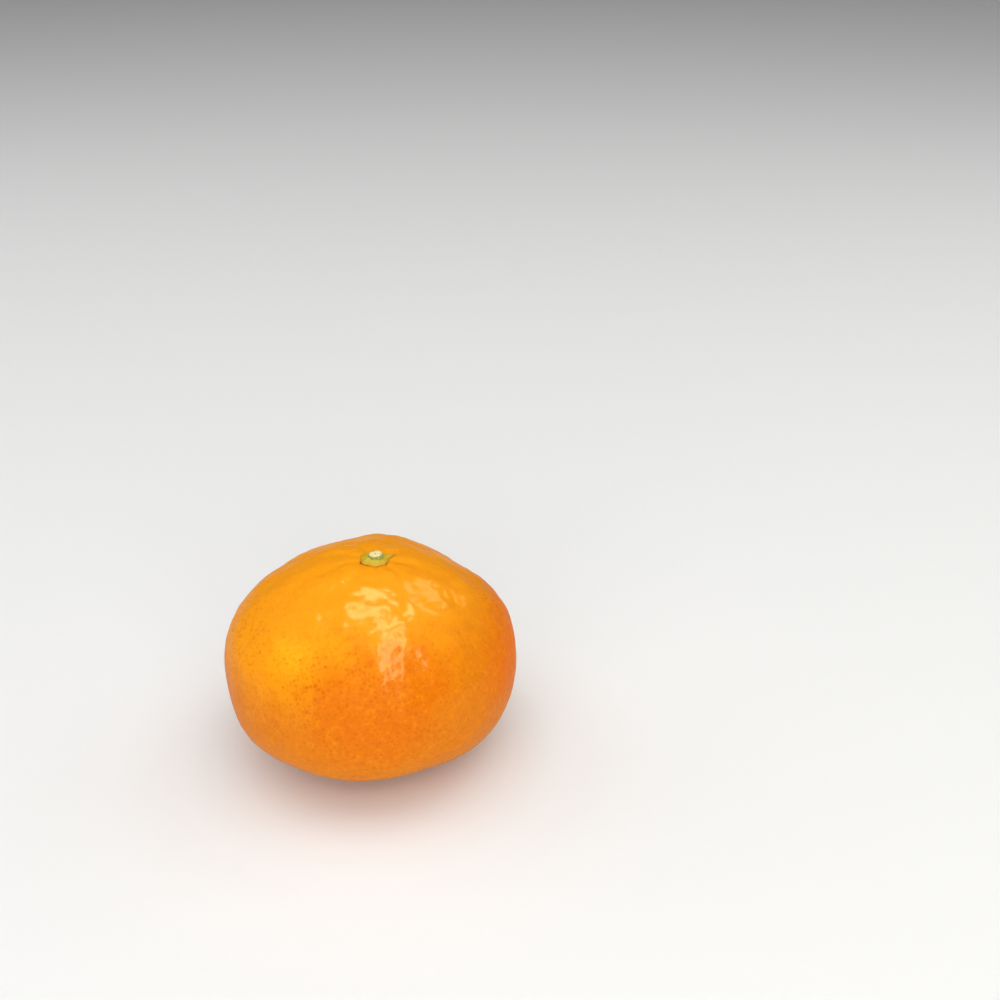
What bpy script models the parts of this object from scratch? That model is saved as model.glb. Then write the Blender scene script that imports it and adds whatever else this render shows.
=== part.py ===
# A mandarin as picked, resting on its base: the fruit in its pitted peel, the green calyx on its crown
# and the cut stub of its stem.
# Metres, +Z up. The origin is on the resting surface, under the middle of the fruit.
import math

import bmesh
import bpy
import numpy as np
from mathutils import Euler, Vector

MM = 0.001

# Driving dimensions of the fruit
WIDTH = 72.0 * MM
CROWN_RISE = 27.2 * MM
BASE_DROP = 25.4 * MM
LEAN = Euler((math.radians(2.0), math.radians(3.5), 0.0))

# How the profile curves between the widest ring and each end: 2 is an ellipse, less is more pointed,
# more is squarer. The first number shapes the end, the second the side.
CROWN_CURVE = (1.7, 2.2)
BASE_CURVE = (2.2, 2.5)

# The crown draws up into a low neck, with a hollow in its middle for the calyx and furrows running out of it
NECK_RISE = 1.5 * MM
NECK_RADIUS = 14.0 * MM
HOLLOW_DEPTH = 1.5 * MM
HOLLOW_RADIUS = 5.5 * MM
FURROWS = 9
FURROW_DEPTH = 0.25 * MM
FURROW_RADIUS = 9.0 * MM

# The uneven places of the peel: azimuth and latitude in degrees, spread in degrees, rise
SWELLINGS = (
    (85.0, 52.0, 13.0, 1.3 * MM),
    (40.0, 45.0, 13.0, -0.2 * MM),
    (152.0, 40.0, 16.0, -0.3 * MM),
    (15.0, 25.0, 16.0, 0.8 * MM),
    (185.0, 5.0, 18.0, 0.4 * MM),
    (212.0, -30.0, 18.0, 1.0 * MM),
    (300.0, -32.0, 20.0, -1.3 * MM),
    (270.0, -60.0, 20.0, -0.4 * MM),
)

# The base is pressed flat where it rests, round the pit left by the blossom
BASE_PRESS = 0.5 * MM
BASE_BLEND = 0.6 * MM
BLOSSOM_PIT_DEPTH = 0.6 * MM

# Oil glands pit the peel, here larger than life
GLANDS = 1500
GLAND_DEPTH = 0.35 * MM
GLAND_SCATTER = 0.16
SEED = 7

# The calyx is a thin cap with five pointed sepals: the azimuth in degrees and the length of each
CALYX_RADIUS = 3.1 * MM
CALYX_THICKNESS = 0.7 * MM
CALYX_RIM_THICKNESS = 0.6 * MM
SEPALS = (
    (25.0, 2.3 * MM),
    (92.0, 0.8 * MM),
    (155.0, 0.4 * MM),
    (222.0, 1.1 * MM),
    (305.0, 1.6 * MM),
)
SEPAL_SPREAD = 14.0
CALYX_RINGS = 5
CALYX_SIDES = 72

# The stem was cut just above the calyx
STEM_RADIUS = 1.75 * MM
STEM_FOOT_RADIUS = 2.0 * MM
STEM_HEIGHT = 0.5 * MM
STEM_EDGE = 0.15 * MM
STEM_SIDES = 28
STEM_OFFSET = Vector((0.2 * MM, 0.1 * MM, 0.0))
STEM_LEAN = Euler((0.0, math.radians(-3.0), 0.0))

GAP = 0.3 * MM

PEEL_COLOUR = (0.90, 0.29, 0.015)
CALYX_COLOUR = (0.38, 0.42, 0.05)
STEM_COLOUR = (0.62, 0.56, 0.30)


def clear_scene():
    for old in list(bpy.data.objects):
        bpy.data.objects.remove(old, do_unlink=True)


def new_collection(name):
    collection = bpy.data.collections.new(name)
    bpy.context.scene.collection.children.link(collection)
    return collection


def new_material(name, colour, roughness):
    material = bpy.data.materials.new(name)
    material.use_nodes = True
    shader = material.node_tree.nodes["Principled BSDF"]
    shader.inputs["Base Color"].default_value = (*colour, 1.0)
    shader.inputs["Roughness"].default_value = roughness
    return material


def new_object(name, mesh, material, collection):
    mesh.materials.append(material)
    mesh.shade_smooth()
    piece = bpy.data.objects.new(name, mesh)
    collection.objects.link(piece)
    return piece


def crown_height(radius, azimuth):
    """Height of the crown above the widest ring, at a distance from the fruit's axis."""
    end, side = CROWN_CURVE
    height = CROWN_RISE * (1 - (radius / (WIDTH / 2)) ** end) ** (1 / side)
    height += NECK_RISE * np.exp(-((radius / NECK_RADIUS) ** 2))
    height -= HOLLOW_DEPTH * np.exp(-((radius / HOLLOW_RADIUS) ** 2))
    reach = (radius / FURROW_RADIUS) ** 2 * np.exp(1 - (radius / FURROW_RADIUS) ** 2)
    return height - FURROW_DEPTH * reach * (0.5 + 0.5 * np.cos(FURROWS * azimuth)) ** 2


def base_height(radius):
    """Height of the base below the widest ring, at a distance from the fruit's axis."""
    end, side = BASE_CURVE
    return -BASE_DROP * (1 - (radius / (WIDTH / 2)) ** end) ** (1 / side)


def peel_points(directions):
    """The smooth peel in the fruit's own axes, one point for each unit direction."""
    azimuth = np.arctan2(directions[:, 1], directions[:, 0])
    ring = np.clip(np.hypot(directions[:, 0], directions[:, 1]), 0, 1)
    upper = directions[:, 2] > 0
    end = np.where(upper, CROWN_CURVE[0], BASE_CURVE[0])
    radius = WIDTH / 2 * ring ** (2 / end)
    height = np.where(upper, crown_height(radius, azimuth), base_height(radius))
    points = np.column_stack((radius * np.cos(azimuth), radius * np.sin(azimuth), height))
    for swelling_azimuth, latitude, spread, rise in SWELLINGS:
        centre = sphere_point(math.radians(90.0 - latitude), math.radians(swelling_azimuth))
        nearness = np.exp((directions @ centre - 1) / (1 - math.cos(math.radians(spread))))
        points += directions * (rise * nearness)[:, None]
    return points


def sphere_point(polar, azimuth):
    """A unit direction, its polar angle counted from the crown."""
    polar, azimuth = np.broadcast_arrays(polar, azimuth)
    return np.stack((np.sin(polar) * np.cos(azimuth), np.sin(polar) * np.sin(azimuth), np.cos(polar)), -1)


def gland_directions():
    """One direction for each gland: a golden-angle spiral from crown to base with equal room, scattered."""
    polar = np.linspace(0.0, math.pi, 2000)
    profile = peel_points(sphere_point(polar, np.zeros_like(polar)))
    steps = np.linalg.norm(np.diff(profile, axis=0), axis=1)
    widths = (profile[1:, 0] + profile[:-1, 0]) / 2
    area = np.concatenate(([0.0], np.cumsum(steps * widths)))
    spiral = np.arange(GLANDS)
    gland_polar = np.interp(spiral / (GLANDS - 1) * area[-1], area, polar)
    golden_angle = math.pi * (3 - math.sqrt(5))
    spacing = math.sqrt(4 * math.pi / GLANDS)
    scatter = np.random.default_rng(SEED).uniform(-1, 1, (GLANDS, 3)) * GLAND_SCATTER * spacing
    scatter[[0, -1]] = 0.0
    directions = sphere_point(gland_polar, spiral * golden_angle) + scatter
    return directions / np.linalg.norm(directions, axis=1)[:, None]


def gland_mesh():
    """A closed ball of six-sided cells: vertex 0 to GLANDS-1 are the glands, the rest are the cells' corners."""
    mesh = bmesh.new()
    for direction in gland_directions():
        mesh.verts.new(direction)
    hull = bmesh.ops.convex_hull(mesh, input=mesh.verts)
    spans = [part for part in hull["geom"] if isinstance(part, bmesh.types.BMEdge)]
    bmesh.ops.poke(mesh, faces=mesh.faces)
    bmesh.ops.rotate_edges(mesh, edges=spans, use_ccw=False)
    bmesh.ops.recalc_face_normals(mesh, faces=mesh.faces)
    mesh.verts.index_update()
    return mesh


def rest_on_base(points):
    """Presses the lowest part of the fruit flat and sets it at height zero."""
    lift = points[:, 2] - (points[:, 2].min() + BASE_PRESS)
    blended = np.where(lift < BASE_BLEND, lift**2 / (2 * BASE_BLEND), lift - BASE_BLEND / 2)
    return np.where(lift < 0, 0.0, blended)


def make_fruit(material, collection):
    """The fruit, and the place of its crown on the fruit's axis."""
    ball = gland_mesh()
    directions = np.array([vertex.co.normalized() for vertex in ball.verts])
    is_gland = np.arange(len(directions)) < GLANDS
    points = peel_points(directions)
    crown = np.array([0.0, 0.0, crown_height(0.0, 0.0)])
    lean = np.array(LEAN.to_matrix())
    points = points @ lean.T
    crown = lean @ crown
    middle = (points.min(0) + points.max(0)) / 2
    floor = points[:, 2].min() + BASE_PRESS + BASE_BLEND / 2
    crown -= (middle[0], middle[1], floor)
    points[:, :2] -= middle[:2]
    points[:, 2] = rest_on_base(points)
    resting = points[:, 2] < GLAND_DEPTH / 10
    sink = np.where(is_gland & ~resting, GLAND_DEPTH, 0.0)
    points -= (directions @ lean.T) * sink[:, None]
    points[GLANDS - 1, 2] = BLOSSOM_PIT_DEPTH
    for vertex, point in zip(ball.verts, points):
        vertex.co = point
    mesh = bpy.data.meshes.new("fruit")
    ball.to_mesh(mesh)
    ball.free()
    return new_object("fruit", mesh, material, collection), Vector(crown)


def sepal_reach(azimuth):
    """How far a sepal stands out of the calyx's round middle in a direction."""
    reach = 0.0
    for sepal_azimuth, length in SEPALS:
        away = math.remainder(azimuth - math.radians(sepal_azimuth), 2 * math.pi)
        reach += length * math.exp(-abs(math.degrees(away)) / SEPAL_SPREAD)
    return reach


def turned_mesh(name, profile, sides):
    """A closed body turned round Z from a profile that runs down from the axis at the top to the axis below."""
    mesh = bmesh.new()
    line = [mesh.verts.new((radius, 0.0, height)) for radius, height in profile]
    edges = [mesh.edges.new(pair) for pair in zip(line, line[1:])]
    bmesh.ops.spin(
        mesh, geom=line + edges, cent=(0, 0, 0), axis=(0, 0, 1), angle=2 * math.pi, steps=sides, use_merge=True
    )
    bmesh.ops.remove_doubles(mesh, verts=mesh.verts, dist=MM / 1000)
    bmesh.ops.recalc_face_normals(mesh, faces=mesh.faces)
    data = bpy.data.meshes.new(name)
    mesh.to_mesh(data)
    mesh.free()
    return data


def make_calyx(material, collection):
    """The calyx lies in the crown's hollow and follows it out to the tips of the sepals."""
    fractions = [step / CALYX_RINGS for step in range(CALYX_RINGS + 1)]
    top = [(CALYX_RADIUS * fraction, 1.0) for fraction in fractions]
    mesh = turned_mesh("calyx", top + [(radius, 0.0) for radius, _ in reversed(top)], CALYX_SIDES)
    for vertex in mesh.vertices:
        azimuth = math.atan2(vertex.co.y, vertex.co.x)
        fraction = math.hypot(vertex.co.x, vertex.co.y) / CALYX_RADIUS
        radius = fraction * CALYX_RADIUS + fraction**3 * sepal_reach(azimuth)
        thickness = CALYX_THICKNESS + (CALYX_RIM_THICKNESS - CALYX_THICKNESS) * fraction
        seat = crown_height(radius, azimuth) - crown_height(0.0, 0.0) + GAP
        height = seat + thickness * vertex.co.z
        vertex.co = (radius * math.cos(azimuth), radius * math.sin(azimuth), height)
    return new_object("calyx", mesh, material, collection)


def make_stem(material, collection):
    """The stub of the stem: a slightly spread foot, a green side and the flat of the cut."""
    profile = (
        (0.0, STEM_HEIGHT),
        (STEM_RADIUS - STEM_EDGE, STEM_HEIGHT),
        (STEM_RADIUS, STEM_HEIGHT - STEM_EDGE),
        (STEM_RADIUS, STEM_HEIGHT / 2),
        (STEM_FOOT_RADIUS, 0.0),
        (0.0, 0.0),
    )
    mesh = turned_mesh("stem", profile, STEM_SIDES)
    stem = new_object("stem", mesh, material, collection)
    mesh.set_sharp_from_angle(angle=math.radians(35))
    return stem


def make_crown_axis(place, collection):
    """The fruit's leaning axis where it leaves the crown, which carries the calyx and the stem."""
    axis = bpy.data.objects.new("crown_axis", None)
    axis.location = place
    axis.rotation_euler = LEAN
    axis.empty_display_size = 5 * MM
    collection.objects.link(axis)
    return axis


def main():
    clear_scene()
    collection = new_collection("mandarin")
    fruit, crown = make_fruit(new_material("peel", PEEL_COLOUR, 0.35), collection)
    axis = make_crown_axis(crown, collection)
    calyx = make_calyx(new_material("calyx", CALYX_COLOUR, 0.5), collection)
    stem = make_stem(new_material("stem", STEM_COLOUR, 0.7), collection)
    calyx.parent = axis
    stem.parent = axis
    stem.location = STEM_OFFSET + Vector((0.0, 0.0, CALYX_THICKNESS + 2 * GAP))
    stem.rotation_euler = STEM_LEAN


main()
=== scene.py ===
# %% [markdown]
# A mandarin is a simple shape with a rich skin. From a step away it is a flattened ball, drawn up a
# little towards the stem. From close by it is thousands of small oil glands, each a shallow pit that
# breaks up every reflection. So this scene spends its effort on three things: the form of the fruit,
# the pitted peel as real geometry, and the small green calyx with the cut stem. Everything is in metres
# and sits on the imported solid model, which is loaded first and is never moved.

# %% Load the solid model and keep its box
import math

import bmesh
import bpy
import numpy as np
from mathutils import Euler, Matrix, Vector, noise


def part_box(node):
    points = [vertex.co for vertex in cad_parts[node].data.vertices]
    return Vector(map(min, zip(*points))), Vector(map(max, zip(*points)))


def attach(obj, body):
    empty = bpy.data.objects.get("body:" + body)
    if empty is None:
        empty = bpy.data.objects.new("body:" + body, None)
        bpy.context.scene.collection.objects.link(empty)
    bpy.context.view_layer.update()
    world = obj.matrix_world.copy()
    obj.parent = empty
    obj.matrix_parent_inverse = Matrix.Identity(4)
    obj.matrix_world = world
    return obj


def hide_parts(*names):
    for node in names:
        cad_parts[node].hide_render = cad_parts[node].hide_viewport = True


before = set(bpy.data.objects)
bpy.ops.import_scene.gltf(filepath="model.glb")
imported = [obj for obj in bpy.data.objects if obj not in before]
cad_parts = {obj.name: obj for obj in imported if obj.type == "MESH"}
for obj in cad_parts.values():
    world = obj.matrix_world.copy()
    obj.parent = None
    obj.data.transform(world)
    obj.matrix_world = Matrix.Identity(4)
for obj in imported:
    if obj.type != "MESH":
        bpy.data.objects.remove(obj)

MM = 0.001


def in_mm(lengths, digits=2):
    """Lengths in metres as rounded millimetres, for the notes that are printed."""
    return [round(float(length) / MM, digits) for length in lengths]


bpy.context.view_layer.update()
fruit_low, fruit_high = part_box("fruit")
stem_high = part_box("stem")[1]
print("nodes:", sorted(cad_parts))
print("fruit of the solid model:", in_mm(fruit_high - fruit_low, 1), "mm")

# %% [markdown]
# The form is a turned profile with a few soft swellings. It could be sculpted by hand from a ball, but a
# formula can be measured and gives the same fruit each time. A curve with two exponents, one for the end
# and one for the side, can be rounder or squarer than an ellipse, which is how a real fruit differs from
# a stretched sphere. The crown gets a low neck, a hollow for the calyx and faint furrows. The same
# formula makes the solid model, so the fine peel fits it everywhere.

# %% The fruit's driving sizes
WIDTH = 72.0 * MM
CROWN_RISE = 27.2 * MM
BASE_DROP = 25.4 * MM
CROWN_CURVE = (1.7, 2.2)
BASE_CURVE = (2.2, 2.5)
NECK_RISE = 1.5 * MM
NECK_RADIUS = 14.0 * MM
HOLLOW_DEPTH = 1.5 * MM
HOLLOW_RADIUS = 5.5 * MM
FURROWS = 9
FURROW_DEPTH = 0.25 * MM
FURROW_RADIUS = 9.0 * MM

# Azimuth and latitude in degrees, spread in degrees, rise
SWELLINGS = (
    (85.0, 52.0, 13.0, 1.3 * MM),
    (40.0, 45.0, 13.0, -0.2 * MM),
    (152.0, 40.0, 16.0, -0.3 * MM),
    (15.0, 25.0, 16.0, 0.8 * MM),
    (185.0, 5.0, 18.0, 0.4 * MM),
    (212.0, -30.0, 18.0, 1.0 * MM),
    (300.0, -32.0, 20.0, -1.3 * MM),
    (270.0, -60.0, 20.0, -0.4 * MM),
)
print("fruit:", in_mm((WIDTH, CROWN_RISE + BASE_DROP), 1), "mm wide and high before it is uneven")


# %% Heights of the crown and the base at a distance from the fruit's axis
def crown_height(radius, azimuth):
    end, side = CROWN_CURVE
    height = CROWN_RISE * (1 - (radius / (WIDTH / 2)) ** end) ** (1 / side)
    height += NECK_RISE * np.exp(-((radius / NECK_RADIUS) ** 2))
    height -= HOLLOW_DEPTH * np.exp(-((radius / HOLLOW_RADIUS) ** 2))
    reach = (radius / FURROW_RADIUS) ** 2 * np.exp(1 - (radius / FURROW_RADIUS) ** 2)
    return height - FURROW_DEPTH * reach * (0.5 + 0.5 * np.cos(FURROWS * azimuth)) ** 2


def base_height(radius):
    end, side = BASE_CURVE
    return -BASE_DROP * (1 - (radius / (WIDTH / 2)) ** end) ** (1 / side)


crown_rise = crown_height(0.0, 0.0)
print("crown", in_mm((crown_rise,)), "mm above the widest ring")


# %% A point of the peel for each direction from the fruit's middle
def sphere_point(polar, azimuth):
    polar, azimuth = np.broadcast_arrays(polar, azimuth)
    return np.stack((np.sin(polar) * np.cos(azimuth), np.sin(polar) * np.sin(azimuth), np.cos(polar)), -1)


def peel_points(directions):
    azimuth = np.arctan2(directions[:, 1], directions[:, 0])
    ring = np.clip(np.hypot(directions[:, 0], directions[:, 1]), 0, 1)
    upper = directions[:, 2] > 0
    radius = WIDTH / 2 * ring ** (2 / np.where(upper, CROWN_CURVE[0], BASE_CURVE[0]))
    height = np.where(upper, crown_height(radius, azimuth), base_height(radius))
    points = np.column_stack((radius * np.cos(azimuth), radius * np.sin(azimuth), height))
    for swelling_azimuth, latitude, spread, rise in SWELLINGS:
        centre = sphere_point(math.radians(90.0 - latitude), math.radians(swelling_azimuth))
        nearness = np.exp((directions @ centre - 1) / (1 - math.cos(math.radians(spread))))
        points += directions * (rise * nearness)[:, None]
    return points


# %% [markdown]
# Oil glands cover a peel evenly but in no rows. Points thrown at random would clump and leave bare spots,
# so the glands are laid out by the golden angle, the rule that also packs the seeds of a sunflower. Each
# gland turns on by about 137.5 degrees, and the steps from crown to base are spaced so that each one
# gets the same area of peel. A little scatter hides the spiral. On a real mandarin the glands are a
# little over a millimetre apart, which is about eleven thousand of them.

# %% Lay out the oil glands
GLANDS = 11000
GLAND_SPACING = math.sqrt(4 * math.pi / GLANDS)
GLAND_SCATTER = 0.36
GOLDEN_ANGLE = math.pi * (3 - math.sqrt(5))
PROFILE_STEPS = 4000
SEED = 7
chance = np.random.default_rng(SEED)


def gland_directions():
    polar = np.linspace(0.0, math.pi, PROFILE_STEPS)
    profile = peel_points(sphere_point(polar, np.zeros_like(polar)))
    steps = np.linalg.norm(np.diff(profile, axis=0), axis=1)
    widths = (profile[1:, 0] + profile[:-1, 0]) / 2
    area = np.concatenate(([0.0], np.cumsum(steps * widths)))
    spiral = np.arange(GLANDS)
    gland_polar = np.interp(spiral / (GLANDS - 1) * area[-1], area, polar)
    scatter = chance.uniform(-1, 1, (GLANDS, 3)) * GLAND_SCATTER * GLAND_SPACING
    directions = sphere_point(gland_polar, spiral * GOLDEN_ANGLE) + scatter
    return directions / np.linalg.norm(directions, axis=1)[:, None]


print("glands: about", in_mm((GLAND_SPACING * WIDTH / 2,)), "mm apart")

# %% [markdown]
# To turn loose points into a skin, a convex hull round them on a ball joins each gland to its nearest
# neighbours. Poking every triangle and turning the old edges swaps that net for its dual: a six-sided
# cell round each gland, as on the peel. Splitting the spokes once more gives every pit a floor, a wall
# and a rim. A bump texture could only shade such pits. Real ones show in the outline and stay in the
# exported mesh.


# %% Join the glands into a net of cells
def cell_mesh():
    ball = bmesh.new()
    for direction in gland_directions():
        ball.verts.new(direction)
    hull = bmesh.ops.convex_hull(ball, input=ball.verts)
    spans = [part for part in hull["geom"] if isinstance(part, bmesh.types.BMEdge)]
    bmesh.ops.poke(ball, faces=ball.faces)
    bmesh.ops.rotate_edges(ball, edges=spans, use_ccw=False)
    ball.verts.index_update()
    spokes = [edge for edge in ball.edges if min(end.index for end in edge.verts) < GLANDS]
    bmesh.ops.subdivide_edges(ball, edges=spokes, cuts=1)
    bmesh.ops.triangulate(ball, faces=ball.faces)
    bmesh.ops.recalc_face_normals(ball, faces=ball.faces)
    ball.verts.index_update()
    return ball


cells = cell_mesh()
print("peel:", GLANDS, "glands,", len(cells.verts), "vertices,", len(cells.faces), "triangles")

# %% Give every cell its depth
WALL_SHARE = 0.5
SHALLOW_PIT = 0.3
PIT_VARIETY = 0.9
PIT_RARITY = 1.6


def cell_depths(ball):
    """How deep each vertex lies in its pit: deepest on the floor, less on the wall, 0 on the rim."""
    depths = np.zeros(len(ball.verts))
    strengths = SHALLOW_PIT + PIT_VARIETY * chance.uniform(0, 1, GLANDS) ** PIT_RARITY
    # A hull round n points has 2 n - 4 triangles, and each was poked once: those are the rim's vertices
    rim_end = 3 * GLANDS - 4
    ball.verts.ensure_lookup_table()
    for gland, strength in zip(ball.verts[:GLANDS], strengths):
        depths[gland.index] = strength
        for edge in gland.link_edges:
            wall = edge.other_vert(gland).index
            if wall >= rim_end:
                depths[wall] = strength * WALL_SHARE
    return depths


cell_depth = cell_depths(cells)
floors = cell_depth[:GLANDS]
print("pits: strength from", round(float(floors.min()), 2), "to", round(float(floors.max()), 2))

# %% [markdown]
# The fruit leans a little and is pressed flat where it rests, because a soft fruit that touched the floor
# in one point would look as if it floated. The box of the finished form is then laid over the box of the
# solid model, which puts every piece in its place without fitting by eye.

# %% Set the form on the solid model
LEAN = Euler((math.radians(2.0), math.radians(3.5), 0.0))
BASE_PRESS = 0.5 * MM
BASE_BLEND = 0.6 * MM
lean = np.array(LEAN.to_matrix())


def rest_on_base(heights, lowest):
    lift = heights - (lowest + BASE_PRESS)
    blended = np.where(lift < BASE_BLEND, lift**2 / (2 * BASE_BLEND), lift - BASE_BLEND / 2)
    return np.where(lift < 0, 0.0, blended)


directions = np.array([vertex.co.normalized() for vertex in cells.verts])
form = peel_points(directions) @ lean.T
form_low, form_high = form.min(0), form.max(0)
shift = (np.array(fruit_low) + np.array(fruit_high)) / 2 - (form_low + form_high) / 2
shift[2] = fruit_low.z - (form_low[2] + BASE_PRESS + BASE_BLEND / 2)
crown = Vector(lean @ (0.0, 0.0, crown_rise) + shift)
blossom = Vector(lean @ (0.0, 0.0, base_height(0.0)) + shift)
form[:, :2] += shift[:2]
form[:, 2] = rest_on_base(form[:, 2], form_low[2]) + fruit_low.z
print("crown at", in_mm(crown), "mm")

# %% [markdown]
# A peel is never even. Besides its pits it has soft waves, about a centimetre from crest to crest, and
# pebbles of a few millimetres, and those are what breaks a reflection into rings and islands. A displace
# modifier could raise them, but plain noise, added along each vertex's normal, keeps every step in sight.
# The pits are deep on the sides and shallow near the crown, as on a ripe fruit. All of it lies a little
# under the smooth form, so that the crests don't make the fruit bigger.

# %% Relief of the peel: waves, pebbles and pits
WAVE_LENGTH = 5.5 * MM
WAVE_HEIGHT = 0.38 * MM
PEBBLE_LENGTH = 1.9 * MM
PEBBLE_HEIGHT = 0.12 * MM
RELIEF_PLACE = Vector((51.0, 64.0, 39.0))
RELIEF_INSET = 0.14 * MM
SHOULDER_RADIUS = 32.0 * MM
WAIST_RADIUS = 44.0 * MM
WAIST_WAVES = 0.5
PIT_DEPTH = 0.06 * MM
SMOOTH_RADIUS = 14.0 * MM
PITTED_RADIUS = 30.0 * MM
CROWN_PITS = 0.25
PATCH_LENGTH = 16.0 * MM
PATCH_CONTRAST = 0.5
RESTING_HEIGHT = 0.4 * MM


def noise_band(points, length):
    return np.array([noise.noise(Vector(point) / length + RELIEF_PLACE) for point in points])


def relief(points, normals):
    """How far each point moves, and how strongly the peel is pitted there."""
    clear_of_floor = np.clip(points[:, 2] / RESTING_HEIGHT, 0, 1)
    from_crown = np.linalg.norm(points - np.array(crown), axis=1)
    pitted = np.interp(from_crown, (SMOOTH_RADIUS, PITTED_RADIUS), (CROWN_PITS, 1.0))
    pitted *= 1 + PATCH_CONTRAST * noise_band(points, PATCH_LENGTH)
    uneven = WAVE_HEIGHT * noise_band(points, WAVE_LENGTH) + PEBBLE_HEIGHT * noise_band(points, PEBBLE_LENGTH)
    waviness = np.interp(from_crown, (SHOULDER_RADIUS, WAIST_RADIUS), (1.0, WAIST_WAVES))
    rise = uneven * waviness - RELIEF_INSET - PIT_DEPTH * pitted * cell_depth
    return normals * (rise * clear_of_floor)[:, None], pitted


# %% The pit that the blossom left
BLOSSOM_PIT_DEPTH = 0.6 * MM
BLOSSOM_PIT_RADIUS = 1.5 * MM
BLOSSOM_PIT_TOP = 3.0 * MM
BLOSSOM_SCAR_RADIUS = 1.1 * MM
BLOSSOM_SCAR_TOP = 2.0 * MM


def blossom_pit(points):
    """How far the underside rises into the pit, and how strong the scar is there."""
    from_blossom = np.hypot(points[:, 0] - blossom.x, points[:, 1] - blossom.y)
    underside = np.clip(1 - points[:, 2] / BLOSSOM_PIT_TOP, 0, 1)
    rise = underside * BLOSSOM_PIT_DEPTH * np.exp(-((from_blossom / BLOSSOM_PIT_RADIUS) ** 2))
    scar = (points[:, 2] < BLOSSOM_SCAR_TOP) * np.exp(-((from_blossom / BLOSSOM_SCAR_RADIUS) ** 4))
    return rise, scar


print("blossom at", in_mm(blossom), "mm before the base is pressed flat")


# %% Make the peel
def set_points(mesh, points):
    mesh.vertices.foreach_set("co", points.astype(np.float32).ravel())
    mesh.update()


def vertex_normals(mesh):
    normals = np.zeros(3 * len(mesh.vertices), np.float32)
    mesh.vertices.foreach_get("normal", normals)
    return normals.reshape(-1, 3).astype(float)


def store(mesh, name, values):
    """Keeps a number on each vertex, for the finish to read by name."""
    mesh.attributes.new(name, "FLOAT", "POINT").data.foreach_set("value", np.asarray(values, np.float32))


def add_piece(name, mesh):
    mesh.shade_smooth()
    piece = bpy.data.objects.new(name, mesh)
    bpy.context.scene.collection.objects.link(piece)
    return piece


def make_peel():
    mesh = bpy.data.meshes.new("peel")
    cells.to_mesh(mesh)
    cells.free()
    set_points(mesh, form)
    moved, pitted = relief(form, vertex_normals(mesh))
    points = form + moved
    rise, scar = blossom_pit(form)
    points[:, 2] += rise
    set_points(mesh, points)
    store(mesh, "pore", cell_depth * pitted)
    store(mesh, "scar", scar)
    return add_piece("peel", mesh)


peel = make_peel()
print("peel box:", in_mm(peel.dimensions), "mm")

# %% [markdown]
# Finishes are made of nodes, and a few dozen of them wired by hand are hard to read. So a small class
# wraps a node's output, and sums and products in Python become Math nodes. Any other node comes from one
# method, which takes its type, its settings and what goes into its sockets. Colours and places never go
# through a Math node, which would turn them grey. They use Mix and Vector Math.


# %% Shader maths in plain Python
class Flow:
    """A value that changes over the surface. Arithmetic on it adds Math nodes."""

    def __init__(self, tree, socket):
        self.tree = tree
        self.socket = socket

    def math(self, operation, first, second):
        inputs = {"Value": first, "Value_001": second}
        return self.tree.node("ShaderNodeMath", {"operation": operation}, inputs)["Value"]

    def __add__(self, other):
        return self.math("ADD", self, other)

    def __radd__(self, other):
        return self.math("ADD", other, self)

    def __sub__(self, other):
        return self.math("SUBTRACT", self, other)

    def __rsub__(self, other):
        return self.math("SUBTRACT", other, self)

    def __mul__(self, other):
        return self.math("MULTIPLY", self, other)

    def __rmul__(self, other):
        return self.math("MULTIPLY", other, self)

    def swing(self, size):
        """Turns noise, which lies round a half, into a swing to both sides of 0."""
        return (self - 0.5) * size

    def ramp(self, low, high, start=0.0, end=1.0):
        """Goes smoothly from start to end as this value goes from low to high."""
        settings = {"interpolation_type": "SMOOTHSTEP"}
        inputs = {"Value": self, "From Min": low, "From Max": high, "To Min": start, "To Max": end}
        return self.tree.node("ShaderNodeMapRange", settings, inputs)["Result"]


# %% Nodes from one method
class Tree:
    """A node tree and what is added to it."""

    def __init__(self, node_tree):
        self.nodes = node_tree.nodes
        self.links = node_tree.links

    def plug(self, socket, value):
        """Links a flow to a socket, or sets a plain number, vector or colour on it."""
        if isinstance(value, Flow):
            self.links.new(value.socket, socket)
        elif socket.type == "RGBA":
            socket.default_value = (*value, 1.0)
        else:
            socket.default_value = value

    def node(self, kind, settings=None, inputs=None):
        """Adds a node and gives its outputs, each under its identifier."""
        made = self.nodes.new(kind)
        for name, value in (settings or {}).items():
            setattr(made, name, value)
        sockets = {socket.identifier: socket for socket in made.inputs}
        for name, value in (inputs or {}).items():
            self.plug(sockets[name], value)
        return {socket.identifier: Flow(self, socket) for socket in made.outputs}

    def mixed(self, share, first, second):
        """The first colour where share is 0, the second where it is 1."""
        inputs = {"Factor_Float": share, "A_Color": first, "B_Color": second}
        return self.node("ShaderNodeMix", {"data_type": "RGBA"}, inputs)["Result_Color"]

    def stored(self, name):
        """A number that was stored on the vertices."""
        return self.node("ShaderNodeAttribute", {"attribute_name": name})["Fac"]

    def place(self):
        """Where a point is, in the model's own frame."""
        return self.node("ShaderNodeTexCoord")["Object"]

    def axes(self, place):
        split = self.node("ShaderNodeSeparateXYZ", {}, {"Vector": place})
        return split["X"], split["Y"], split["Z"]

    def distance(self, place, spot):
        inputs = {"Vector": place, "Vector_001": spot}
        return self.node("ShaderNodeVectorMath", {"operation": "DISTANCE"}, inputs)["Value"]

    def noise(self, place, length, detail, roughness=0.5):
        inputs = {"Vector": place, "Scale": 1 / length, "Detail": detail, "Roughness": roughness}
        return self.node("ShaderNodeTexNoise", {}, inputs)["Fac"]


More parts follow.
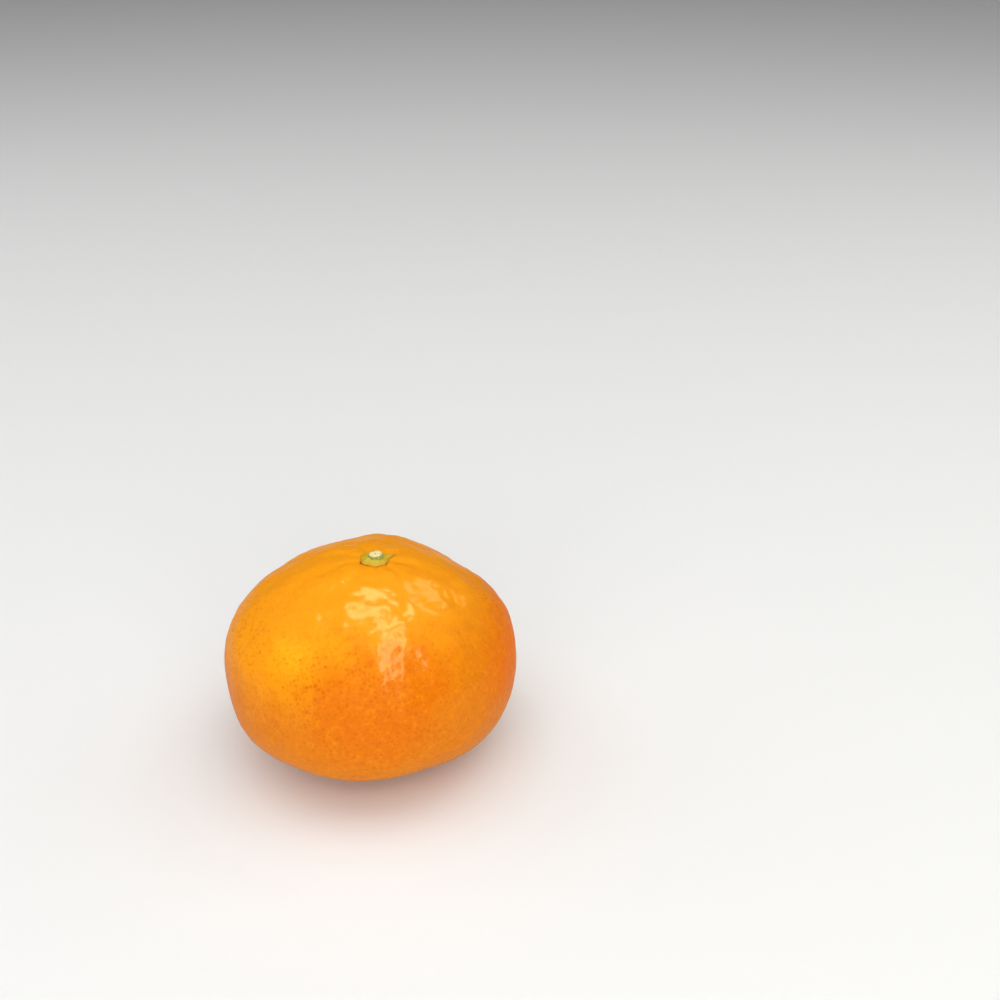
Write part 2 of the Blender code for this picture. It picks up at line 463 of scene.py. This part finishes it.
# %% A finish and the nodes that feed its shader
class Finish(Tree):
    """One material. Values that are the same all over are set when it is made."""

    def __init__(self, name, **constants):
        self.material = bpy.data.materials.new(name)
        self.material.use_nodes = True
        super().__init__(self.material.node_tree)
        for socket, value in constants.items():
            self.feed(socket.replace("_", " "), value)

    def feed(self, socket, value):
        self.plug(self.nodes["Principled BSDF"].inputs[socket], value)

    def bump(self, height, distance):
        inputs = {"Height": height, "Distance": distance, "Strength": 1.0}
        self.feed("Normal", self.node("ShaderNodeBump", {}, inputs)["Normal"])


def put_on(piece, finish):
    piece.data.materials.append(finish.material)
    print(piece.name, "finish:", len(finish.nodes), "nodes")


# %% [markdown]
# Ripe peel is a saturated orange that drifts between amber and deep orange over centimetres. This one is
# amber above, deeper orange below the middle and a little right of it, and lighter again near the floor,
# with one small yellow place that saw less sun. Along its right side it is redder: painted shade. A
# picture of peel could be wrapped round it, but it would stretch at the crown and repeat. Mixing a few
# colours by height, by distance from a spot and by noise follows the form from all sides.

# %% Colours of the peel
ORANGE = (0.67, 0.188, 0.004)
AMBER = (0.84, 0.300, 0.006)
DEEP_ORANGE = (0.68, 0.146, 0.002)
LOW_ORANGE = (0.70, 0.235, 0.007)
# Painted shade: a redder orange that lies along the right side
RIGHT_SHADE_ORANGE = (0.78, 0.150, 0.001)
SUNLESS_YELLOW = (0.85, 0.430, 0.012)
# Painted glint: a light orange for fine flecks that stand for shine on the peel's small relief
PAINTED_GLINT = (0.76, 0.250, 0.006)
# The glands' own darker oil, which is also the colour of the painted shade flecks
GLAND_OIL_AND_SHADE = (0.58, 0.126, 0.001)
SCAR_BROWN = (0.16, 0.07, 0.02)

# %% Where the colours lie
DRIFT_LENGTH = 30.0 * MM
AMBER_HEIGHTS = (19.0 * MM, 46.0 * MM)
AMBER_SIDES = (-26.0 * MM, 30.0 * MM)
AMBER_BY_HEIGHT = 1.1
AMBER_BY_SIDE = 0.5
AMBER_BY_DRIFT = 0.8
AMBER_BY_MOTTLE = 0.7
AMBER_FULL = 0.85
LOW_HEIGHTS = (18.0 * MM, 5.0 * MM)
RIGHT_SIDES = (25.0 * MM, 36.0 * MM)
RIGHT_HEIGHTS = (12.0 * MM, 28.0 * MM)
RIGHT_SHADE_STRENGTH = 0.9

# Middle, distance where it starts, distance where it is full, unevenness of its edge, strength, colour
DEEP_PATCH = (Vector((2.0, -34.0, 30.0)) * MM, 19.0 * MM, 6.0 * MM, 14.0 * MM, 0.75, DEEP_ORANGE)
BLUSH_PATCH = (Vector((14.0, -29.0, 38.0)) * MM, 13.0 * MM, 3.0 * MM, 8.0 * MM, 0.65, DEEP_ORANGE)
SUNLESS_PATCH = (Vector((-16.0, -25.0, 40.0)) * MM, 8.0 * MM, 1.0 * MM, 10.0 * MM, 0.5, SUNLESS_YELLOW)


def patched(finish, colour, place, mottle, patch):
    """Mixes an uneven patch into a colour, and gives the distance from the patch's middle with it."""
    middle, start, full, unevenness, strength, patch_colour = patch
    away = finish.distance(place, middle) + mottle.swing(unevenness)
    return finish.mixed(away.ramp(start, full) * strength, colour, patch_colour), away


def ripe_colour(finish, place, mottle, right_shade):
    """The peel's colour between its glands, and the distance from the middle of the deep patch."""
    x, _, z = finish.axes(place)
    drift = finish.noise(place, DRIFT_LENGTH, detail=1.5)
    amber = z.ramp(*AMBER_HEIGHTS) * AMBER_BY_HEIGHT - x.ramp(*AMBER_SIDES) * AMBER_BY_SIDE
    amber = amber + drift.swing(AMBER_BY_DRIFT) + mottle.swing(AMBER_BY_MOTTLE)
    colour = finish.mixed(amber.ramp(0.0, AMBER_FULL), ORANGE, AMBER)
    colour, from_deep = patched(finish, colour, place, mottle, DEEP_PATCH)
    colour = finish.mixed(z.ramp(*LOW_HEIGHTS), colour, LOW_ORANGE)
    colour, _ = patched(finish, colour, place, mottle, BLUSH_PATCH)
    # Painted shade along the right side
    colour = finish.mixed(right_shade * RIGHT_SHADE_STRENGTH, colour, RIGHT_SHADE_ORANGE)
    colour, _ = patched(finish, colour, place, mottle, SUNLESS_PATCH)
    return colour, from_deep


# %% [markdown]
# The glands show as darker dots, because the oil in them lets light through to the flesh. Between them
# lie fine dark flecks of painted shade and light flecks of painted glints, which stand for the shading
# and the shine of the peel's small relief. The dots could be a texture of their own, but then they would
# miss the pits. So they read the depth that was stored on the mesh. They are faint near the crown and
# clearest in the deep orange patch.

# %% Dots of the peel, with painted shade and painted glint flecks
FLECK_LENGTH = 1.7 * MM
# Noise bands for the painted shade flecks and the painted glint flecks
SHADE_FLECKS = (0.49, 0.64)
GLINT_FLECKS = (0.45, 0.33)
GLINT_FLECK_STRENGTH = 0.45
SHADE_FLECK_STRENGTH = 0.40
DOT_STRENGTH = 0.85
DOTS_BY_HEIGHT = (52.0 * MM, 38.0 * MM, 0.15, 0.58)
DEEP_DOTS_REACH = (26.0 * MM, 10.0 * MM)
DEEP_DOTS_STRENGTH = 0.35


def dotted(finish, colour, place, pore, from_deep):
    """Adds the glands, the painted shade and painted glint flecks between them and the blossom's scar to a
    colour.
    """
    fleck = finish.noise(place, FLECK_LENGTH, detail=2.0, roughness=0.7)
    # The gland dots are the oil's own colour; the dark flecks added to them are painted shade
    dots = pore.ramp(0.0, 1.0) * DOT_STRENGTH + fleck.ramp(*SHADE_FLECKS) * SHADE_FLECK_STRENGTH
    height = finish.axes(place)[2]
    showing = height.ramp(*DOTS_BY_HEIGHT) + from_deep.ramp(*DEEP_DOTS_REACH) * DEEP_DOTS_STRENGTH
    colour = finish.mixed(dots * showing, colour, GLAND_OIL_AND_SHADE)
    # Painted glints: light flecks from noise
    colour = finish.mixed(fleck.ramp(*GLINT_FLECKS) * GLINT_FLECK_STRENGTH, colour, PAINTED_GLINT)
    return finish.mixed(finish.stored("scar"), colour, SCAR_BROWN)


# %% [markdown]
# Peel is waxy. A clear coat with a tight gloss draws the sharp, bright islands of a highlight, and the
# skin under it has hardly any gloss of its own, or a pale veil would lie over the orange. The coat is
# thinner along the right side, where painted shade keeps a deep colour to its edge. A little light is
# scattered under the skin, more of the red than of the blue, so that no part turns dark and hard.

# %% Finish of the peel
MOTTLE_LENGTH = 6.0 * MM
GRAIN_LENGTH = 0.45 * MM
GRAIN_HEIGHT = 0.010 * MM
PEEL_ROUGHNESS = 0.40
ROUGHNESS_BY_MOTTLE = 0.10
ROUGHNESS_BY_PORE = 0.05
PEEL_COAT = 0.10
COAT_BY_MOTTLE = 0.08


def peel_finish():
    finish = Finish(
        "peel_skin",
        Subsurface_Weight=0.12,
        Subsurface_Scale=0.003,
        Subsurface_Radius=(1.0, 0.35, 0.08),
        Specular_IOR_Level=0.03,
        Specular_Tint=(1.0, 0.88, 0.40),
        Coat_Roughness=0.14,
    )
    place = finish.place()
    x, _, z = finish.axes(place)
    # The right-side mask paints shade into the colour and thins the coat there
    right_shade = x.ramp(*RIGHT_SIDES) * z.ramp(*RIGHT_HEIGHTS)
    mottle = finish.noise(place, MOTTLE_LENGTH, detail=3.0)
    pore = finish.stored("pore")
    colour, from_deep = ripe_colour(finish, place, mottle, right_shade)
    finish.feed("Base Color", dotted(finish, colour, place, pore, from_deep))
    finish.feed("Roughness", PEEL_ROUGHNESS + mottle * ROUGHNESS_BY_MOTTLE + pore * ROUGHNESS_BY_PORE)
    finish.feed("Coat Weight", (PEEL_COAT + mottle * COAT_BY_MOTTLE) * (1 - right_shade * RIGHT_SHADE_STRENGTH))
    finish.bump(finish.noise(place, GRAIN_LENGTH, detail=3.0), GRAIN_HEIGHT)
    return finish


put_on(peel, peel_finish())

# %% [markdown]
# The calyx is what is left of the flower: five small pointed sepals grown into one cap, which is broad in
# front. It lies in the crown's hollow and follows it. A leaf shape could be cut from a plane and bent,
# but its edge would be thin and hard to seat. So the cap is turned from a flat profile, and then each
# vertex is pushed out towards the nearest tip, laid on the crown and given ribs, a rounded edge and a
# curl at the tips. Round the stem it is raised to a collar.

# %% Sizes of the calyx
CALYX_RADIUS = 3.3 * MM
CALYX_THICKNESS = 0.8 * MM
CALYX_RIM_THICKNESS = 0.45 * MM
CALYX_RINGS = 24
CALYX_SIDES = 240
CALYX_SEAT = -0.08 * MM
RAGGED_REACH = 0.22 * MM
RAGGED_DENSITY = 4.0
EDGE_START = 0.8
EDGE_ROUNDING = 0.55
RIB_RISE = 0.16 * MM
DIMPLE_RISE = 0.10 * MM
DIMPLE_LENGTH = 1.1 * MM
DIMPLE_PLACE = 0.3 * MM
TIP_CURL = 0.12 * MM
COLLAR_RISE = 0.55 * MM
COLLAR_RADIUS = 2.3 * MM

# Azimuth and spread in degrees, length past the cap, share of the tip that has dried.
# The fifth row is not a sepal: it is the cap's broad front.
SEPALS = (
    (29.0, 9.0, 2.4 * MM, 0.4),
    (98.0, 12.0, 0.7 * MM, 0.7),
    (160.0, 12.0, 0.3 * MM, 0.7),
    (217.0, 11.0, 0.8 * MM, 1.0),
    (283.0, 26.0, 0.5 * MM, 0.0),
    (325.0, 9.0, 0.5 * MM, 1.0),
)


def sepal_reach(azimuth):
    """How far the sepals stand out in a direction, how near that is to a tip, and how dry it is there."""
    reach, nearness, dryness = 0.0, 0.0, 0.0
    for sepal_azimuth, spread, length, dry in SEPALS:
        away = math.degrees(math.remainder(azimuth - math.radians(sepal_azimuth), 2 * math.pi))
        fall = math.exp(-abs(away) / spread)
        reach += length * fall
        nearness = max(nearness, fall)
        dryness = max(dryness, dry * fall)
    return reach, nearness, dryness


longest_sepal = CALYX_RADIUS + max(length for _, _, length, _ in SEPALS)
print("longest sepal:", in_mm((longest_sepal,)), "mm from the middle")

# %% Helpers for turned pieces
MERGE_DISTANCE = 0.001 * MM


def turned(name, profile, sides):
    """A closed mesh turned round Z from a profile that runs down from the axis at the top."""
    turning = bmesh.new()
    line = [turning.verts.new((radius, 0.0, height)) for radius, height in profile]
    edges = [turning.edges.new(pair) for pair in zip(line, line[1:])]
    bmesh.ops.spin(
        turning,
        geom=line + edges,
        cent=(0, 0, 0),
        axis=(0, 0, 1),
        angle=2 * math.pi,
        steps=sides,
        use_merge=True,
    )
    bmesh.ops.remove_doubles(turning, verts=turning.verts, dist=MERGE_DISTANCE)
    bmesh.ops.recalc_face_normals(turning, faces=turning.faces)
    mesh = bpy.data.meshes.new(name)
    turning.to_mesh(mesh)
    turning.free()
    return mesh


def put_on_crown(mesh, points, offset=Vector()):
    """Moves a mesh's vertices to points that are given in the crown's own axes."""
    rotation = LEAN.to_matrix()
    for vertex, point in zip(mesh.vertices, points):
        vertex.co = crown + rotation @ (point + offset)


# %% Make the calyx
def calyx_point(flat):
    """A point of the cap, how browned it is there, and its place between the middle, 0, and the rim, 1."""
    azimuth = math.atan2(flat.y, flat.x)
    fraction = math.hypot(flat.x, flat.y) / CALYX_RADIUS
    reach, nearness, dryness = sepal_reach(azimuth)
    around = Vector((math.cos(azimuth), math.sin(azimuth), 0.0))
    ragged = RAGGED_REACH * noise.noise(around * RAGGED_DENSITY)
    radius = fraction * CALYX_RADIUS + fraction**3 * (reach + ragged)
    edge = max(0.0, (fraction - EDGE_START) / (1 - EDGE_START))
    thickness = CALYX_THICKNESS + (CALYX_RIM_THICKNESS - CALYX_THICKNESS) * fraction
    thickness *= 1 - EDGE_ROUNDING * edge**2
    thickness += RIB_RISE * nearness**2 * math.sin(math.pi * min(1.0, fraction))
    dimple = noise.noise(Vector((flat.x, flat.y, DIMPLE_PLACE)) / DIMPLE_LENGTH)
    thickness += DIMPLE_RISE * dimple * (1 - edge)
    thickness += COLLAR_RISE * math.exp(-((radius / COLLAR_RADIUS) ** 4))
    seat = float(crown_height(radius, azimuth) - crown_rise) + CALYX_SEAT + TIP_CURL * edge**2 * nearness
    return Vector((radius * around.x, radius * around.y, seat + flat.z * thickness)), edge * dryness, fraction


def make_calyx():
    fractions = [step / CALYX_RINGS for step in range(CALYX_RINGS + 1)]
    top = [(CALYX_RADIUS * fraction, 1.0) for fraction in fractions]
    profile = top + [(CALYX_RADIUS, 0.5)] + [(radius, 0.0) for radius, _ in reversed(top)]
    mesh = turned("calyx_cap", profile, CALYX_SIDES)
    points, browned, outward = zip(*(calyx_point(vertex.co) for vertex in mesh.vertices))
    put_on_crown(mesh, points)
    store(mesh, "browned", browned)
    store(mesh, "outward", outward)
    return add_piece("calyx_cap", mesh)


calyx = make_calyx()
print("calyx:", len(calyx.data.polygons), "faces,", in_mm(calyx.dimensions), "mm")

# %% [markdown]
# A fresh calyx is leaf green round the stem and turns to lime and straw towards its rim, and some of its
# tips have dried to brown. Separate finishes for tip and cap would meet in a hard line, so the colours
# are mixed by two numbers that were stored on the cap: how far out a point is, and how dry. Noise makes
# the borders uneven.

# %% Finish of the calyx
LEAF_GREEN = (0.42, 0.38, 0.012)
LIME = (0.49, 0.35, 0.008)
STRAW = (0.52, 0.27, 0.006)
DRIED_TIP = (0.24, 0.10, 0.004)
CALYX_MOTTLE_LENGTH = 1.3 * MM
CALYX_GRAIN_LENGTH = 0.35 * MM
CALYX_GRAIN_HEIGHT = 0.03 * MM
CALYX_ROUGHNESS = 0.42
CALYX_ROUGHNESS_BY_MOTTLE = 0.2
STRAW_STRENGTH = 0.9

# How far noise shifts a border, where the new colour starts, where it is full
LIME_BORDER = (0.7, 0.35, 0.75)
STRAW_BORDER = (0.5, 0.72, 1.0)
DRIED_BORDER = (0.3, 0.30, 0.65)


def past_border(value, mottle, border):
    """How far a value is past an uneven border: 0 before it, 1 behind it."""
    unevenness, start, full = border
    return (value + mottle.swing(unevenness)).ramp(start, full)


def calyx_finish():
    finish = Finish("calyx_skin", Subsurface_Weight=0.08, Subsurface_Scale=0.0015, Specular_IOR_Level=0.15)
    place = finish.place()
    mottle = finish.noise(place, CALYX_MOTTLE_LENGTH, detail=3.0)
    outward = finish.stored("outward")
    browned = finish.stored("browned")
    colour = finish.mixed(past_border(outward, mottle, LIME_BORDER), LEAF_GREEN, LIME)
    colour = finish.mixed(past_border(outward, mottle, STRAW_BORDER) * STRAW_STRENGTH, colour, STRAW)
    colour = finish.mixed(past_border(browned, mottle, DRIED_BORDER), colour, DRIED_TIP)
    finish.feed("Base Color", colour)
    finish.feed("Roughness", CALYX_ROUGHNESS + mottle * CALYX_ROUGHNESS_BY_MOTTLE)
    finish.bump(finish.noise(place, CALYX_GRAIN_LENGTH, detail=4.0), CALYX_GRAIN_HEIGHT)
    return finish


put_on(calyx, calyx_finish())

# %% [markdown]
# The stem was snipped just above the calyx. Only a few millimetres of it are left, but it is the one
# place with a sharp edge, so the eye goes there first. A plain cylinder would look like a peg. This stub
# is turned as well, with a foot that widens into the calyx, a rounded rim, ridges along its bark and a
# cut that is slightly domed, sloped and hollow at the pith. Each vertex keeps its place on the cut and
# how much of a ray runs through it.

# %% Sizes of the stem
STEM_RADIUS = 1.75 * MM
STEM_FOOT_RADIUS = 2.05 * MM
STEM_HEIGHT = 0.5 * MM
STEM_SINK = 0.7 * MM
STEM_OFFSET = Vector((0.25, -0.05, 1.20)) * MM
STEM_LEAN = Euler((0.0, math.radians(-3.0), 0.0))
STEM_SIDES = 96
CUT_RINGS = 14
SIDE_RINGS = 10
CUT_SHARE = 0.94
RIM_DROP = 0.07 * MM
CUT_TOLERANCE = 0.01 * MM
RIDGES = 7
RIDGE_DEPTH = 0.06 * MM
RIDGE_TURN = 1.2
OUT_OF_ROUND = 0.12 * MM
OUT_OF_ROUND_DENSITY = 1.6
CUT_GRAIN_RISE = 0.05 * MM
CUT_GRAIN_LENGTH = 0.5 * MM
CUT_DOME = 0.06 * MM
CUT_SLOPE = 0.10 * MM
PITH_HOLLOW = 0.16 * MM
PITH_SHARE = 0.16
RAY_DENSITY = 3.5
SHARP_ANGLE = math.radians(50)


def stem_profile():
    cut = [(STEM_RADIUS * CUT_SHARE * step / CUT_RINGS, STEM_HEIGHT) for step in range(CUT_RINGS + 1)]
    side = []
    for step in range(SIDE_RINGS + 1):
        share = step / SIDE_RINGS
        radius = STEM_RADIUS + (STEM_FOOT_RADIUS - STEM_RADIUS) * share**2
        side.append((radius, (STEM_HEIGHT - RIM_DROP) * (1 - share) - STEM_SINK * share))
    return cut + side + [(0.0, -STEM_SINK)]


print("stem: a profile of", len(stem_profile()), "points")


# %% Make the stem
def on_cut(height):
    return height > STEM_HEIGHT - CUT_TOLERANCE


def stem_point(turned_point):
    """A point of the stub, whether it is on the cut, its share of the radius and the ray through it."""
    azimuth = math.atan2(turned_point.y, turned_point.x)
    radius = math.hypot(turned_point.x, turned_point.y)
    outward = radius / STEM_RADIUS
    around = Vector((math.cos(azimuth), math.sin(azimuth), 0.0))
    ridges = RIDGE_DEPTH * math.cos(RIDGES * azimuth + RIDGE_TURN)
    ridges += OUT_OF_ROUND * noise.noise(around * OUT_OF_ROUND_DENSITY)
    radius += ridges * min(1.0, outward) ** 4
    height = turned_point.z
    if on_cut(turned_point.z):
        height += CUT_GRAIN_RISE * noise.noise(Vector((radius, azimuth * MM, 0.0)) / CUT_GRAIN_LENGTH)
        height += CUT_DOME * (1 - outward**2) - PITH_HOLLOW * math.exp(-((outward / PITH_SHARE) ** 2))
        height += CUT_SLOPE * around.x * outward
    ray = outward * noise.noise(around * RAY_DENSITY)
    return Vector((radius * around.x, radius * around.y, height)), on_cut(turned_point.z), outward, ray


def make_stem():
    mesh = turned("stem_stub", stem_profile(), STEM_SIDES)
    points, cut, outward, ray = zip(*(stem_point(vertex.co) for vertex in mesh.vertices))
    tilt = STEM_LEAN.to_matrix()
    put_on_crown(mesh, [tilt @ point for point in points], STEM_OFFSET)
    store(mesh, "cut", cut)
    store(mesh, "outward", outward)
    store(mesh, "ray", ray)
    piece = add_piece("stem_stub", mesh)
    mesh.set_sharp_from_angle(angle=SHARP_ANGLE)
    return piece


stem = make_stem()
stem_top = max(vertex.co.z for vertex in stem.data.vertices)
print("stem top and the solid's:", in_mm((stem_top, stem_high.z)), "mm")

# %% [markdown]
# A cut twig shows its layers as rings: dark bark outside, a thin green layer, pale wood with fine rays and
# the brownish pith in the middle. Rings can be read off the distance from the middle, which was stored
# on the mesh, so they follow the ridges of the bark. The wood is dry and has next to no gloss.

# %% Finish of the stem
WOOD = (0.82, 0.64, 0.31)
RAY = (0.36, 0.30, 0.10)
PITH = (0.34, 0.24, 0.14)
GREEN_LAYER = (0.58, 0.55, 0.16)
BARK = (0.24, 0.21, 0.09)
BARK_GREEN = (0.34, 0.34, 0.03)
RAY_STRENGTH = 0.75
RAY_BAND = (0.04, 0.20)
BARK_MOTTLE = (0.42, 0.66)
LAYER_UNEVENNESS = 0.08
STEM_ROUGHNESS = 0.62
STEM_ROUGHNESS_BY_MOTTLE = 0.2
STEM_MOTTLE_LENGTH = 0.6 * MM
STEM_GRAIN_LENGTH = 0.25 * MM
STEM_GRAIN_HEIGHT = 0.03 * MM

# Share of the radius where a layer starts, share where it is full, colour
LAYERS = (
    (0.20, 0.10, PITH),
    (0.74, 0.86, GREEN_LAYER),
    (0.88, 0.96, BARK),
)


def stem_finish():
    finish = Finish("stem_wood", Specular_IOR_Level=0.3)
    place = finish.place()
    mottle = finish.noise(place, STEM_MOTTLE_LENGTH, detail=3.0)
    outward = finish.stored("outward") + mottle.swing(LAYER_UNEVENNESS)
    cut = finish.mixed(finish.stored("ray").ramp(*RAY_BAND) * RAY_STRENGTH, WOOD, RAY)
    for start, full, layer in LAYERS:
        cut = finish.mixed(outward.ramp(start, full), cut, layer)
    side = finish.mixed(mottle.ramp(*BARK_MOTTLE), BARK_GREEN, BARK)
    finish.feed("Base Color", finish.mixed(finish.stored("cut"), side, cut))
    finish.feed("Roughness", STEM_ROUGHNESS + mottle * STEM_ROUGHNESS_BY_MOTTLE)
    finish.bump(finish.noise(place, STEM_GRAIN_LENGTH, detail=4.0), STEM_GRAIN_HEIGHT)
    return finish


put_on(stem, stem_finish())

# %% [markdown]
# Every visible piece stands for a solid of the model and rides on its one body. Parenting the pieces to
# the solids would work for this still fruit too, but here each piece is parented to an empty for the
# body, and the solid that it stands for is hidden.

# %% Hand the pieces to the frame
for piece, node, slot in ((peel, "fruit", "peel"), (calyx, "calyx", "calyx"), (stem, "stem", "stem")):
    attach(piece, "root")
    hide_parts(node)
    print(piece.name, "rides on root and replaces", node)

# %% [markdown]
# The fruit lies on plain white paper. A bent backdrop could hide the horizon, but from this angle only
# the floor is in sight, so one wide matt sheet is enough. Its white comes back as soft light under the
# fruit.

# %% Floor
FLOOR_SIDE = 8.0
FLOOR_COLOUR = (0.78, 0.78, 0.78)


def make_floor():
    sheet = bmesh.new()
    bmesh.ops.create_grid(sheet, x_segments=1, y_segments=1, size=FLOOR_SIDE / 2)
    mesh = bpy.data.meshes.new("floor")
    sheet.to_mesh(mesh)
    sheet.free()
    floor = add_piece("floor", mesh)
    floor.location.z = fruit_low.z
    put_on(floor, Finish("floor_paper", Base_Color=FLOOR_COLOUR, Roughness=0.6, Specular_IOR_Level=0.2))
    return floor


make_floor()

# %% [markdown]
# One large light could do everything, but its reflection would lie over the whole fruit like fog. So
# shine and shading are lit apart. Three panels are seen in gloss alone, and their light is tinted,
# because the shine on this peel is warm: one overhead lies on the crown as a wide pebbled patch, a tall
# narrow one in front draws the upright streak below it, and one behind on the right makes the patch
# beside the stem. The soft lights are kept out of the gloss. A ceiling lights the floor evenly, one light
# above and one in front shape the fruit, a low one reaches its lower half, and one on either side keeps
# its edges clear.

# %% Lights
WARM_WHITE = (1.0, 0.96, 0.50)
WHITE = (1.0, 1.0, 1.0)

# Name, direction from the fruit, direction of the second side, sides in metres, power, distance
SHINE_PANELS = (
    ("shine_overhead", (0.03, 0.12, 0.99), (0, 1, 0), (0.60, 0.21), 14.5, 1.0),
    ("shine_front", (0.33, -0.47, 0.82), (0, 0.87, 0.5), (0.15, 0.95), 15.0, 1.0),
    ("shine_back", (0.47, 0.50, 0.73), (-0.17, -0.32, 0.25), (0.20, 0.34), 2.8, 1.0),
)
SOFT_LIGHTS = (
    ("soft_ceiling", (0.0, 0.0, 1.0), (0, 1, 0), (4.0, 4.0), 30.0, 2.0),
    ("soft_top", (0.05, 0.0, 1.0), (0, 1, 0), (1.0, 0.6), 2.5, 1.0),
    ("soft_front", (0.05, -0.76, 0.65), (0, 0, 1), (1.4, 0.7), 3.6, 1.1),
    ("soft_low", (0.0, -0.96, 0.28), (0, 0, 1), (1.4, 0.45), 7.3, 1.1),
    ("soft_left", (-0.77, 0.25, 0.60), (0, 0, 1), (0.8, 0.8), 1.9, 1.1),
    ("soft_right", (0.77, 0.25, 0.60), (0, 0, 1), (0.8, 0.8), 1.9, 1.1),
)


def add_light(name, towards, second_side, sides, power, distance, shine):
    """A rectangular light that faces the fruit, seen in gloss alone or in everything but gloss."""
    lamp = bpy.data.lights.new(name, "AREA")
    lamp.shape = "RECTANGLE"
    lamp.size, lamp.size_y = sides
    lamp.energy = power
    lamp.color = WARM_WHITE if shine else WHITE
    holder = bpy.data.objects.new(name, lamp)
    facing = Vector(towards).normalized()
    across = Vector(second_side).cross(facing).normalized()
    turn = Matrix((across, facing.cross(across), facing)).transposed()
    holder.matrix_world = Matrix.LocRotScale(facing * distance, turn, None)
    holder.visible_glossy = shine
    holder.visible_diffuse = not shine
    bpy.context.scene.collection.objects.link(holder)


for panel in SHINE_PANELS:
    add_light(*panel, shine=True)
for light in SOFT_LIGHTS:
    add_light(*light, shine=False)
print("lights:", len(SHINE_PANELS), "for the shine and", len(SOFT_LIGHTS), "soft ones")

# %% [markdown]
# The surroundings are white too. An even white would make either the backdrop dull or the fruit flat, so
# they are pale at the horizon and dim above. They are kept out of the gloss as the soft lights are.

# %% Surroundings
HORIZON_STRENGTH = 0.50
SKY_STRENGTH = 0.17

# How far up a direction points, from 0 to 1, where the fading starts and where it ends
FADING_HEIGHTS = (0.05, 0.35)


def make_surroundings():
    world = bpy.data.worlds.new("studio")
    bpy.context.scene.world = world
    world.use_nodes = True
    tree = Tree(world.node_tree)
    fading = {
        "Value": tree.axes(tree.node("ShaderNodeTexCoord")["Generated"])[2],
        "From Min": FADING_HEIGHTS[0],
        "From Max": FADING_HEIGHTS[1],
        "To Min": HORIZON_STRENGTH,
        "To Max": SKY_STRENGTH,
    }
    backdrop = tree.nodes["Background"].inputs
    tree.plug(backdrop["Color"], WHITE)
    tree.plug(backdrop["Strength"], tree.node("ShaderNodeMapRange", {}, fading)["Result"])
    world.cycles_visibility.glossy = False


make_surroundings()
bpy.context.scene.view_settings.view_transform = "Standard"
print("surroundings:", HORIZON_STRENGTH, "at the horizon,", SKY_STRENGTH, "above")

# %% [markdown]
# The camera looks down by 25 degrees through a 50 mm lens, from arm's length. It could be moved about
# until the picture fits. Here the fruit's place in the picture is given as a pixel, and the camera's
# place follows from it, so the lens needs no shift.

# %% Camera
FRAME_PIXELS = 1000
LENS_MM = 50.0
SENSOR_MM = 36.0
LOOK_DOWN = math.radians(25.0)
FRUIT_PIXEL = (371.4, 646.6)
FRUIT_DEPTH = 0.3458
AIM = Vector((0.0, 0.0, 27.0 * MM))


def make_camera():
    focal_pixels = FRAME_PIXELS * LENS_MM / SENSOR_MM
    across = (FRUIT_PIXEL[0] - FRAME_PIXELS / 2) / focal_pixels
    upward = (FRAME_PIXELS / 2 - FRUIT_PIXEL[1]) / focal_pixels
    lens = bpy.data.cameras.new("camera")
    lens.lens = LENS_MM
    lens.sensor_width = SENSOR_MM
    camera = bpy.data.objects.new("camera", lens)
    camera.rotation_euler = (math.pi / 2 - LOOK_DOWN, 0.0, 0.0)
    turn = camera.rotation_euler.to_matrix()
    camera.location = AIM - turn @ Vector((across, upward, -1.0)) * FRUIT_DEPTH
    bpy.context.scene.collection.objects.link(camera)
    return camera


bpy.context.scene.camera = make_camera()
print("camera at", in_mm(bpy.context.scene.camera.location, 0), "mm")
